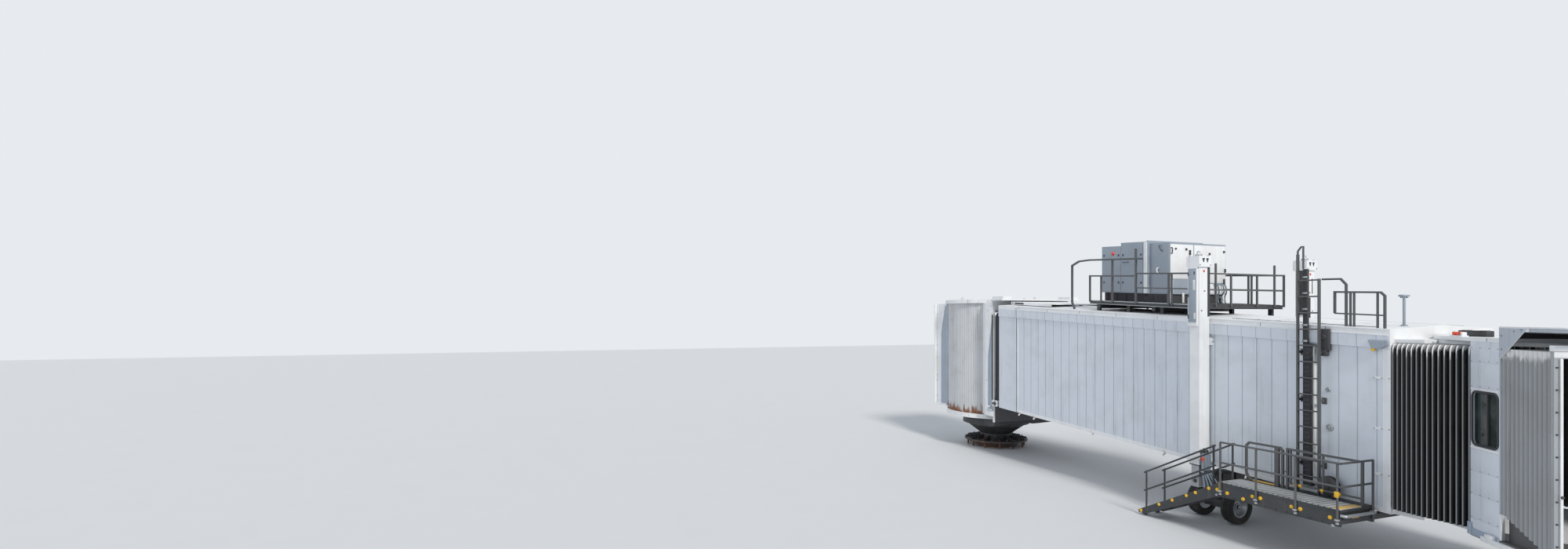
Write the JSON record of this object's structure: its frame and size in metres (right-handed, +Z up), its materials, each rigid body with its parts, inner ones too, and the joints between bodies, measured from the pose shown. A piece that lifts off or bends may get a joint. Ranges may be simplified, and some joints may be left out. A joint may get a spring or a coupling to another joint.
{
  "type": "jet bridge",
  "caption": "Two-tunnel passenger boarding bridge on a pedestal rotunda, with lift columns, wheel trucks, service deck and a turning cab with a folding closure.",
  "frame": {"origin": "centre of the pedestal's foot, on the ground", "axes": "+X along the tunnel from the rotunda to the cab, -Y to the side with the service deck, +Z up"},
  "size_m": [18.3492, 4.5555, 6.3084],
  "materials": {
    "white_steel": "weathered white paint",
    "dark_steel": "dark grey paint",
    "bare_steel": "zinc coated",
    "slats": "dull mill finish with rust at the foot",
    "black_rubber": "matt",
    "unit_grey": "satin blue-grey paint",
    "tyre": "solid tyre",
    "window_glass": "dark tinted",
    "closure_fabric": "pleated coated fabric"
  },
  "bodies": {
    "rotunda": {"pedestal": "dark_steel", "rotunda_floor": "white_steel", "rotunda_roof": "white_steel", "corridor_frame": "white_steel", "slat_curtains": "slats"},
    "portal": {"turntable": "dark_steel", "portal_frame": "white_steel", "portal_floor": "dark_steel", "roof_flashing": "white_steel", "pitch_pins": "bare_steel"},
    "inner_tunnel": {"inner_floor": "dark_steel", "inner_roof": "white_steel", "inner_near_wall": "white_steel", "inner_far_wall": "white_steel", "portal_seal": "black_rubber"},
    "outer_tunnel": {"outer_floor": "dark_steel", "outer_roof": "white_steel", "outer_near_wall": "white_steel", "outer_far_wall": "white_steel", "end_frame": "white_steel", "cab_platform": "dark_steel", "cab_canopy": "white_steel", "lift_columns": "white_steel", "roof_platform": "dark_steel", "roof_rails": "dark_steel", "air_handler": "unit_grey", "wall_ladder": "dark_steel", "cable_trough": "black_rubber", "service_deck": "dark_steel", "deck_rails": "dark_steel"},
    "stair": {"service_stair": "dark_steel"},
    "legs": {"lift_legs": "bare_steel"},
    "carriage": {"carriage_beam": "dark_steel"},
    "near_bogie": {"near_truck": "dark_steel"},
    "far_bogie": {"far_truck": "dark_steel"},
    "near_axle": {"near_wheels": "tyre"},
    "far_axle": {"far_wheels": "tyre"},
    "cab": {"cab_floor": "dark_steel", "cab_near_side": "white_steel", "cab_far_side": "white_steel", "cab_roof": "white_steel", "cab_windows": "window_glass", "cab_bellows": "black_rubber"},
    "closure": {"closure_frame": "bare_steel", "closure_bellows": "closure_fabric"}
  },
  "joints": [
    {"name": "tunnel_swing", "type": "hinge", "parent": "rotunda", "child": "portal", "pos_m": [0, 0, 1.25], "axis": [0, 0, 1], "range_deg": [-45, 45], "deforming": ["slat_curtains"]},
    {"name": "tunnel_pitch", "type": "hinge", "parent": "portal", "child": "inner_tunnel", "pos_m": [1.9, 0, 1.69], "axis": [0, 1, 0], "range_deg": [-5, 0], "deforming": ["portal_seal"]},
    {"name": "telescope", "type": "slide", "parent": "inner_tunnel", "child": "outer_tunnel", "axis": [0.9986, 0, -0.0523], "range_m": [0, 6]},
    {"name": "column_lift", "type": "slide", "parent": "outer_tunnel", "child": "legs", "axis": [0, 0, -1], "range_m": [0, 0.64]},
    {"name": "carriage_level", "type": "hinge", "parent": "legs", "child": "carriage", "pos_m": [9.15, 0, 0.885], "axis": [0, 1, 0], "range_deg": [0, 5]},
    {"name": "near_steer", "type": "hinge", "parent": "carriage", "child": "near_bogie", "pos_m": [9.15, -1.1, 0.5], "axis": [0, 0, 1], "range_deg": [-180, 0]},
    {"name": "far_steer", "type": "hinge", "parent": "carriage", "child": "far_bogie", "pos_m": [9.15, 1.1, 0.5], "axis": [0, 0, 1], "range_deg": [-180, 0]},
    {"name": "near_roll", "type": "hinge", "parent": "near_bogie", "child": "near_axle", "pos_m": [9.15, -1.1, 0.36], "axis": [1, 0, 0], "continuous": true},
    {"name": "far_roll", "type": "hinge", "parent": "far_bogie", "child": "far_axle", "pos_m": [9.15, 1.1, 0.36], "axis": [1, 0, 0], "continuous": true},
    {"name": "cab_turn", "type": "hinge", "parent": "outer_tunnel", "child": "cab", "pos_m": [14, 0, 1], "axis": [0, 0, 1], "range_deg": [-25, 65], "deforming": ["cab_bellows"]},
    {"name": "closure_reach", "type": "slide", "parent": "cab", "child": "closure", "axis": [0.8192, -0.5736, 0], "range_m": [-0.45, 0.15], "deforming": ["closure_bellows"]},
    {"name": "stair_hinge", "type": "hinge", "parent": "outer_tunnel", "child": "stair", "pos_m": [10.155, 0, 0.88], "axis": [0, 1, 0], "range_deg": [-20, 0]}
  ],
  "couplings": [
    {"joint": "column_lift", "follows": "tunnel_pitch", "m_per_rad": -7.3},
    {"joint": "carriage_level", "follows": "tunnel_pitch", "ratio": -1},
    {"joint": "stair_hinge", "follows": "tunnel_pitch", "ratio": 3.9},
    {"joint": "far_steer", "follows": "near_steer", "ratio": 1}
  ]
}
